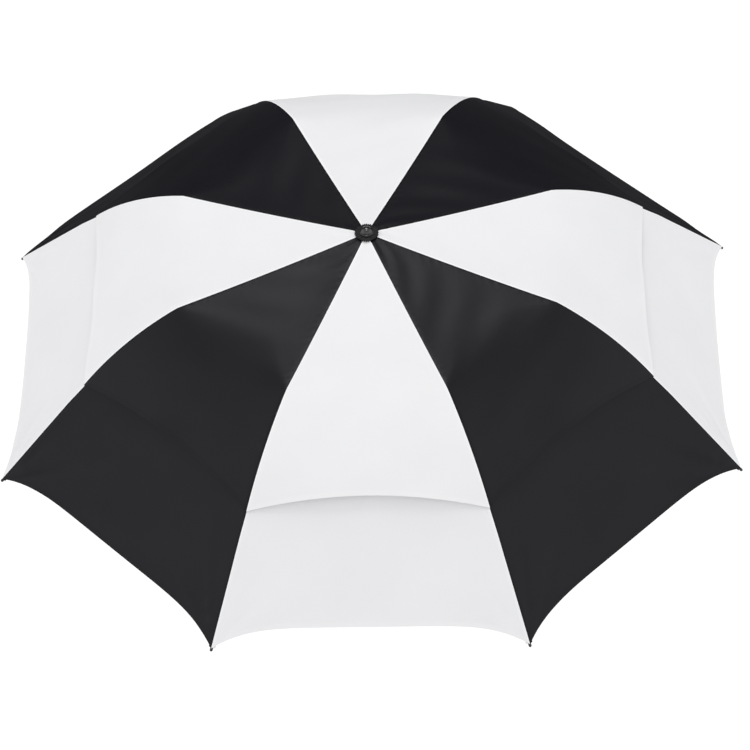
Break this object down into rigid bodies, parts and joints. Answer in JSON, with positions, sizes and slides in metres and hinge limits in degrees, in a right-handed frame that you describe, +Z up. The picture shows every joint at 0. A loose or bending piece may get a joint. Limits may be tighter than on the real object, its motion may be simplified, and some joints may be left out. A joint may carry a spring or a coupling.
{
  "type": "folding golf umbrella",
  "caption": "Open vented double-canopy golf umbrella with folding ribs, a sliding runner and a telescoping shaft with a straight hand grip.",
  "frame": {"origin": "middle of the straight hand grip, on the shaft's axis", "axes": "+Z up along the shaft towards the canopy's cap; -Y towards the middle of the front white panel, on the release button's side; +X to the right of it"},
  "size_m": [1.1574, 1.1574, 0.8556],
  "materials": {
    "white_fabric": "taut satin pongee polyester",
    "black_fabric": "taut satin pongee polyester",
    "rib_metal": "satin anodised",
    "rib_fibreglass": "smooth pultruded fibreglass",
    "stretcher_metal": "black zinc-plated channel",
    "shaft_metal": "polished chrome-plated tube",
    "spring_steel": "bright spring wire",
    "black_nylon": "moulded nylon",
    "cap_gloss": "glossy moulded plastic",
    "grip_rubber": "rubber-coated, soft satin",
    "button_plastic": "satin silver moulded plastic",
    "strap_fabric": "plain black pongee strap"
  },
  "bodies": {
    "handle": {"handle_grip": "grip_rubber", "end_cap": "black_nylon", "lower_tube": "shaft_metal"},
    "middle_shaft": {"middle_tube": "shaft_metal"},
    "upper_shaft": {"upper_tube": "shaft_metal", "top_notch": "black_nylon", "top_cap": "cap_gloss", "cap_washer": "black_fabric", "opening_spring": "spring_steel"},
    "runner": {"runner": "black_nylon"},
    "release_button": {"release_button": "button_plastic"},
    "inner_rib_1": {"inner_rib_1": "rib_metal", "vent_panel_1": "black_fabric"},
    "middle_rib_1": {"middle_rib_1": "rib_metal"},
    "tip_rib_1": {"tip_rib_1": "rib_fibreglass", "lower_panel_1": "black_fabric"},
    "stretcher_1": {"stretcher_1": "stretcher_metal"},
    "inner_rib_2": {"inner_rib_2": "rib_metal", "vent_panel_2": "white_fabric"},
    "middle_rib_2": {"middle_rib_2": "rib_metal"},
    "tip_rib_2": {"tip_rib_2": "rib_fibreglass", "lower_panel_2": "white_fabric"},
    "stretcher_2": {"stretcher_2": "stretcher_metal"},
    "inner_rib_3": {"inner_rib_3": "rib_metal", "vent_panel_3": "black_fabric"},
    "middle_rib_3": {"middle_rib_3": "rib_metal"},
    "tip_rib_3": {"tip_rib_3": "rib_fibreglass", "lower_panel_3": "black_fabric"},
    "stretcher_3": {"stretcher_3": "stretcher_metal"},
    "inner_rib_4": {"inner_rib_4": "rib_metal", "vent_panel_4": "white_fabric"},
    "middle_rib_4": {"middle_rib_4": "rib_metal"},
    "tip_rib_4": {"tip_rib_4": "rib_fibreglass", "lower_panel_4": "white_fabric", "closing_strap": "strap_fabric"},
    "stretcher_4": {"stretcher_4": "stretcher_metal"},
    "inner_rib_5": {"inner_rib_5": "rib_metal", "vent_panel_5": "black_fabric"},
    "middle_rib_5": {"middle_rib_5": "rib_metal"},
    "tip_rib_5": {"tip_rib_5": "rib_fibreglass", "lower_panel_5": "black_fabric"},
    "stretcher_5": {"stretcher_5": "stretcher_metal"},
    "inner_rib_6": {"inner_rib_6": "rib_metal", "vent_panel_6": "white_fabric"},
    "middle_rib_6": {"middle_rib_6": "rib_metal"},
    "tip_rib_6": {"tip_rib_6": "rib_fibreglass", "lower_panel_6": "white_fabric"},
    "stretcher_6": {"stretcher_6": "stretcher_metal"},
    "inner_rib_7": {"inner_rib_7": "rib_metal", "vent_panel_7": "black_fabric"},
    "middle_rib_7": {"middle_rib_7": "rib_metal"},
    "tip_rib_7": {"tip_rib_7": "rib_fibreglass", "lower_panel_7": "black_fabric"},
    "stretcher_7": {"stretcher_7": "stretcher_metal"},
    "inner_rib_8": {"inner_rib_8": "rib_metal", "vent_panel_8": "white_fabric"},
    "middle_rib_8": {"middle_rib_8": "rib_metal"},
    "tip_rib_8": {"tip_rib_8": "rib_fibreglass", "lower_panel_8": "white_fabric"},
    "stretcher_8": {"stretcher_8": "stretcher_metal"}
  },
  "joints": [
    {"name": "shaft_telescope", "type": "slide", "parent": "handle", "child": "middle_shaft", "axis": [0, 0, 1], "range_m": [-0.15, 0]},
    {"name": "upper_telescope", "type": "slide", "parent": "middle_shaft", "child": "upper_shaft", "axis": [0, 0, 1], "range_m": [-0.15, 0]},
    {"name": "runner_slide", "type": "slide", "parent": "upper_shaft", "child": "runner", "axis": [0, 0, 1], "range_m": [-0.2515, 0], "stiffness_N_per_m": 120, "springref_m": 0.25, "deforming": ["vent_panel_1", "vent_panel_2", "vent_panel_3", "vent_panel_4", "vent_panel_5", "vent_panel_6", "vent_panel_7", "vent_panel_8", "lower_panel_1", "lower_panel_2", "lower_panel_3", "lower_panel_4", "lower_panel_5", "lower_panel_6", "lower_panel_7", "lower_panel_8", "closing_strap"]},
    {"name": "button_press", "type": "slide", "parent": "handle", "child": "release_button", "axis": [0, 1, 0], "range_m": [0, 0.0022], "stiffness_N_per_m": 600, "springref_m": -0.001},
    {"name": "notch_hinge_1", "type": "hinge", "parent": "upper_shaft", "child": "inner_rib_1", "pos_m": [0.00383, -0.00924, 0.79], "axis": [0.9239, 0.3827, 0], "range_deg": [0, 79.92]},
    {"name": "elbow_hinge_1", "type": "hinge", "parent": "inner_rib_1", "child": "middle_rib_1", "pos_m": [0.11982, -0.28927, 0.7576], "axis": [0.9239, 0.3827, 0], "range_deg": [-203.36, 0]},
    {"name": "knuckle_hinge_1", "type": "hinge", "parent": "middle_rib_1", "child": "tip_rib_1", "pos_m": [0.17816, -0.43013, 0.65304], "axis": [0.9239, 0.3827, 0], "range_deg": [0, 166.98]},
    {"name": "stretcher_hinge_1", "type": "hinge", "parent": "inner_rib_1", "child": "stretcher_1", "pos_m": [0.06654, -0.16064, 0.77074], "axis": [0.9239, 0.3827, 0], "range_deg": [-144.12, 0]},
    {"name": "notch_hinge_2", "type": "hinge", "parent": "upper_shaft", "child": "inner_rib_2", "pos_m": [0.00924, -0.00383, 0.79], "axis": [0.3827, 0.9239, 0], "range_deg": [0, 79.92]},
    {"name": "elbow_hinge_2", "type": "hinge", "parent": "inner_rib_2", "child": "middle_rib_2", "pos_m": [0.28927, -0.11982, 0.7576], "axis": [0.3827, 0.9239, 0], "range_deg": [-203.36, 0]},
    {"name": "knuckle_hinge_2", "type": "hinge", "parent": "middle_rib_2", "child": "tip_rib_2", "pos_m": [0.43013, -0.17816, 0.65304], "axis": [0.3827, 0.9239, 0], "range_deg": [0, 166.98]},
    {"name": "stretcher_hinge_2", "type": "hinge", "parent": "inner_rib_2", "child": "stretcher_2", "pos_m": [0.16064, -0.06654, 0.77074], "axis": [0.3827, 0.9239, 0], "range_deg": [-144.12, 0]},
    {"name": "notch_hinge_3", "type": "hinge", "parent": "upper_shaft", "child": "inner_rib_3", "pos_m": [0.00924, 0.00383, 0.79], "axis": [-0.3827, 0.9239, 0], "range_deg": [0, 79.92]},
    {"name": "elbow_hinge_3", "type": "hinge", "parent": "inner_rib_3", "child": "middle_rib_3", "pos_m": [0.28927, 0.11982, 0.7576], "axis": [-0.3827, 0.9239, 0], "range_deg": [-203.36, 0]},
    {"name": "knuckle_hinge_3", "type": "hinge", "parent": "middle_rib_3", "child": "tip_rib_3", "pos_m": [0.43013, 0.17816, 0.65304], "axis": [-0.3827, 0.9239, 0], "range_deg": [0, 166.98]},
    {"name": "stretcher_hinge_3", "type": "hinge", "parent": "inner_rib_3", "child": "stretcher_3", "pos_m": [0.16064, 0.06654, 0.77074], "axis": [-0.3827, 0.9239, 0], "range_deg": [-144.12, 0]},
    {"name": "notch_hinge_4", "type": "hinge", "parent": "upper_shaft", "child": "inner_rib_4", "pos_m": [0.00383, 0.00924, 0.79], "axis": [-0.9239, 0.3827, 0], "range_deg": [0, 79.92]},
    {"name": "elbow_hinge_4", "type": "hinge", "parent": "inner_rib_4", "child": "middle_rib_4", "pos_m": [0.11982, 0.28927, 0.7576], "axis": [-0.9239, 0.3827, 0], "range_deg": [-203.36, 0]},
    {"name": "knuckle_hinge_4", "type": "hinge", "parent": "middle_rib_4", "child": "tip_rib_4", "pos_m": [0.17816, 0.43013, 0.65304], "axis": [-0.9239, 0.3827, 0], "range_deg": [0, 166.98]},
    {"name": "stretcher_hinge_4", "type": "hinge", "parent": "inner_rib_4", "child": "stretcher_4", "pos_m": [0.06654, 0.16064, 0.77074], "axis": [-0.9239, 0.3827, 0], "range_deg": [-144.12, 0]},
    {"name": "notch_hinge_5", "type": "hinge", "parent": "upper_shaft", "child": "inner_rib_5", "pos_m": [-0.00383, 0.00924, 0.79], "axis": [-0.9239, -0.3827, 0], "range_deg": [0, 79.92]},
    {"name": "elbow_hinge_5", "type": "hinge", "parent": "inner_rib_5", "child": "middle_rib_5", "pos_m": [-0.11982, 0.28927, 0.7576], "axis": [-0.9239, -0.3827, 0], "range_deg": [-203.36, 0]},
    {"name": "knuckle_hinge_5", "type": "hinge", "parent": "middle_rib_5", "child": "tip_rib_5", "pos_m": [-0.17816, 0.43013, 0.65304], "axis": [-0.9239, -0.3827, 0], "range_deg": [0, 166.98]},
    {"name": "stretcher_hinge_5", "type": "hinge", "parent": "inner_rib_5", "child": "stretcher_5", "pos_m": [-0.06654, 0.16064, 0.77074], "axis": [-0.9239, -0.3827, 0], "range_deg": [-144.12, 0]},
    {"name": "notch_hinge_6", "type": "hinge", "parent": "upper_shaft", "child": "inner_rib_6", "pos_m": [-0.00924, 0.00383, 0.79], "axis": [-0.3827, -0.9239, 0], "range_deg": [0, 79.92]},
    {"name": "elbow_hinge_6", "type": "hinge", "parent": "inner_rib_6", "child": "middle_rib_6", "pos_m": [-0.28927, 0.11982, 0.7576], "axis": [-0.3827, -0.9239, 0], "range_deg": [-203.36, 0]},
    {"name": "knuckle_hinge_6", "type": "hinge", "parent": "middle_rib_6", "child": "tip_rib_6", "pos_m": [-0.43013, 0.17816, 0.65304], "axis": [-0.3827, -0.9239, 0], "range_deg": [0, 166.98]},
    {"name": "stretcher_hinge_6", "type": "hinge", "parent": "inner_rib_6", "child": "stretcher_6", "pos_m": [-0.16064, 0.06654, 0.77074], "axis": [-0.3827, -0.9239, 0], "range_deg": [-144.12, 0]},
    {"name": "notch_hinge_7", "type": "hinge", "parent": "upper_shaft", "child": "inner_rib_7", "pos_m": [-0.00924, -0.00383, 0.79], "axis": [0.3827, -0.9239, 0], "range_deg": [0, 79.92]},
    {"name": "elbow_hinge_7", "type": "hinge", "parent": "inner_rib_7", "child": "middle_rib_7", "pos_m": [-0.28927, -0.11982, 0.7576], "axis": [0.3827, -0.9239, 0], "range_deg": [-203.36, 0]},
    {"name": "knuckle_hinge_7", "type": "hinge", "parent": "middle_rib_7", "child": "tip_rib_7", "pos_m": [-0.43013, -0.17816, 0.65304], "axis": [0.3827, -0.9239, 0], "range_deg": [0, 166.98]},
    {"name": "stretcher_hinge_7", "type": "hinge", "parent": "inner_rib_7", "child": "stretcher_7", "pos_m": [-0.16064, -0.06654, 0.77074], "axis": [0.3827, -0.9239, 0], "range_deg": [-144.12, 0]},
    {"name": "notch_hinge_8", "type": "hinge", "parent": "upper_shaft", "child": "inner_rib_8", "pos_m": [-0.00383, -0.00924, 0.79], "axis": [0.9239, -0.3827, 0], "range_deg": [0, 79.92]},
    {"name": "elbow_hinge_8", "type": "hinge", "parent": "inner_rib_8", "child": "middle_rib_8", "pos_m": [-0.11982, -0.28927, 0.7576], "axis": [0.9239, -0.3827, 0], "range_deg": [-203.36, 0]},
    {"name": "knuckle_hinge_8", "type": "hinge", "parent": "middle_rib_8", "child": "tip_rib_8", "pos_m": [-0.17816, -0.43013, 0.65304], "axis": [0.9239, -0.3827, 0], "range_deg": [0, 166.98]},
    {"name": "stretcher_hinge_8", "type": "hinge", "parent": "inner_rib_8", "child": "stretcher_8", "pos_m": [-0.06654, -0.16064, 0.77074], "axis": [0.9239, -0.3827, 0], "range_deg": [-144.12, 0]}
  ],
  "couplings": [
    {"joint": "upper_telescope", "follows": "shaft_telescope", "ratio": 1},
    {"joint": "notch_hinge_1", "follows": "runner_slide", "rad_per_m": -5.5448},
    {"joint": "elbow_hinge_1", "follows": "runner_slide", "rad_per_m": 14.111},
    {"joint": "knuckle_hinge_1", "follows": "runner_slide", "rad_per_m": -11.586},
    {"joint": "stretcher_hinge_1", "follows": "runner_slide", "rad_per_m": 10},
    {"joint": "notch_hinge_2", "follows": "runner_slide", "rad_per_m": -5.5448},
    {"joint": "elbow_hinge_2", "follows": "runner_slide", "rad_per_m": 14.111},
    {"joint": "knuckle_hinge_2", "follows": "runner_slide", "rad_per_m": -11.586},
    {"joint": "stretcher_hinge_2", "follows": "runner_slide", "rad_per_m": 10},
    {"joint": "notch_hinge_3", "follows": "runner_slide", "rad_per_m": -5.5448},
    {"joint": "elbow_hinge_3", "follows": "runner_slide", "rad_per_m": 14.111},
    {"joint": "knuckle_hinge_3", "follows": "runner_slide", "rad_per_m": -11.586},
    {"joint": "stretcher_hinge_3", "follows": "runner_slide", "rad_per_m": 10},
    {"joint": "notch_hinge_4", "follows": "runner_slide", "rad_per_m": -5.5448},
    {"joint": "elbow_hinge_4", "follows": "runner_slide", "rad_per_m": 14.111},
    {"joint": "knuckle_hinge_4", "follows": "runner_slide", "rad_per_m": -11.586},
    {"joint": "stretcher_hinge_4", "follows": "runner_slide", "rad_per_m": 10},
    {"joint": "notch_hinge_5", "follows": "runner_slide", "rad_per_m": -5.5448},
    {"joint": "elbow_hinge_5", "follows": "runner_slide", "rad_per_m": 14.111},
    {"joint": "knuckle_hinge_5", "follows": "runner_slide", "rad_per_m": -11.586},
    {"joint": "stretcher_hinge_5", "follows": "runner_slide", "rad_per_m": 10},
    {"joint": "notch_hinge_6", "follows": "runner_slide", "rad_per_m": -5.5448},
    {"joint": "elbow_hinge_6", "follows": "runner_slide", "rad_per_m": 14.111},
    {"joint": "knuckle_hinge_6", "follows": "runner_slide", "rad_per_m": -11.586},
    {"joint": "stretcher_hinge_6", "follows": "runner_slide", "rad_per_m": 10},
    {"joint": "notch_hinge_7", "follows": "runner_slide", "rad_per_m": -5.5448},
    {"joint": "elbow_hinge_7", "follows": "runner_slide", "rad_per_m": 14.111},
    {"joint": "knuckle_hinge_7", "follows": "runner_slide", "rad_per_m": -11.586},
    {"joint": "stretcher_hinge_7", "follows": "runner_slide", "rad_per_m": 10},
    {"joint": "notch_hinge_8", "follows": "runner_slide", "rad_per_m": -5.5448},
    {"joint": "elbow_hinge_8", "follows": "runner_slide", "rad_per_m": 14.111},
    {"joint": "knuckle_hinge_8", "follows": "runner_slide", "rad_per_m": -11.586},
    {"joint": "stretcher_hinge_8", "follows": "runner_slide", "rad_per_m": 10}
  ]
}
